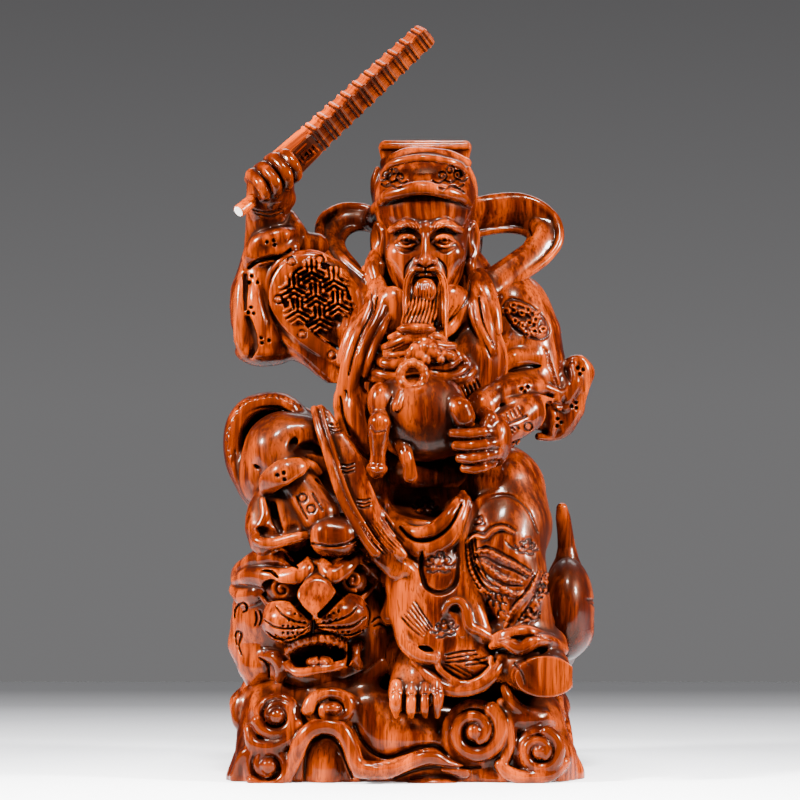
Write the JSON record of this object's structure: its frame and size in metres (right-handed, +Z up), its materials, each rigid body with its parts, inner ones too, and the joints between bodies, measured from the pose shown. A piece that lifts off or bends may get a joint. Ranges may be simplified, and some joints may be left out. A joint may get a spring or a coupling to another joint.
{
  "type": "carved figure",
  "caption": "Carved wooden figure of a bearded god of wealth seated on a crouching tiger above a cloud-scroll base, with a pot and a raised jointed whip.",
  "frame": {"origin": "middle of the flat underside, on the surface that the figure stands on", "axes": "+Z up, the figure's front faces -Y, +X to the viewer's right as the front is looked at"},
  "size_m": [0.1544, 0.113, 0.3024],
  "materials": {
    "carved_wood": "polished and lacquered red-brown rosewood with fine dark grain",
    "whip_wood": "the same wood, with pale cut end grain on the grip's end"
  },
  "bodies": {
    "root": {"figure": "carved_wood", "whip": "whip_wood"}
  },
  "joints": []
}
